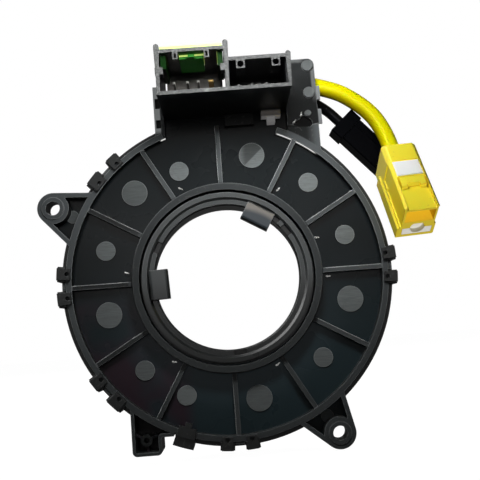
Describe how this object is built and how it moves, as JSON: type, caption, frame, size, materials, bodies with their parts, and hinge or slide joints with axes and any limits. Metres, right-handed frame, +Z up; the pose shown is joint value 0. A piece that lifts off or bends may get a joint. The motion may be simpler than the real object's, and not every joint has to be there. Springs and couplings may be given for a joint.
{
  "type": "steering clock spring",
  "caption": "Round spiral cable unit for a steering column: ribbed drum housing with fixing ears, turning hub, harness sockets and two plug leads.",
  "frame": {"origin": "on the hub axis, in the plane of the back rim, inside the pilot collar of the back housing", "axes": "-Y along the hub axis towards the steering column, +Y towards the steering wheel, +Z up through the harness sockets, +X right when seen from the column"},
  "size_m": [0.1252, 0.0549, 0.1271],
  "materials": {
    "black_plastic": "satin moulded",
    "dark_plastic": "semi-gloss moulded",
    "green_plastic": "moulded",
    "yellow_plastic": "moulded",
    "white_plastic": "moulded",
    "yellow_sleeve": "smooth vinyl sleeve",
    "black_sleeve": "smooth vinyl sleeve",
    "tin": "tinned",
    "brass": "bright",
    "ribbon_film": "polyester film with copper strips",
    "glide_film": "low-friction film"
  },
  "bodies": {
    "stator": {"back_housing": "black_plastic", "front_case": "black_plastic", "socket_block": "black_plastic", "green_lock_shell": "green_plastic", "left_socket_pins": "tin", "right_socket_pins": "tin", "stator_terminal_carrier": "dark_plastic", "lead_cover": "black_plastic", "yellow_lead": "yellow_sleeve", "yellow_connector": "yellow_plastic", "yellow_connector_lock": "white_plastic", "yellow_connector_insert": "white_plastic", "yellow_connector_terminals": "brass", "black_lead": "black_sleeve", "black_connector": "dark_plastic", "black_connector_terminals": "tin", "flat_cable": "ribbon_film", "rear_glide_sheet": "glide_film"},
    "rotor": {"rotor_hub": "black_plastic", "hub_ring": "dark_plastic", "rotor_terminal_carrier": "dark_plastic", "rotor_socket_pins": "tin", "front_glide_sheet": "glide_film"}
  },
  "joints": [
    {"name": "rotor_spin", "type": "hinge", "parent": "stator", "child": "rotor", "pos_m": [0, 0, 0], "axis": [0, 1, 0], "range_deg": [-900, 900], "deforming": ["flat_cable"]}
  ]
}
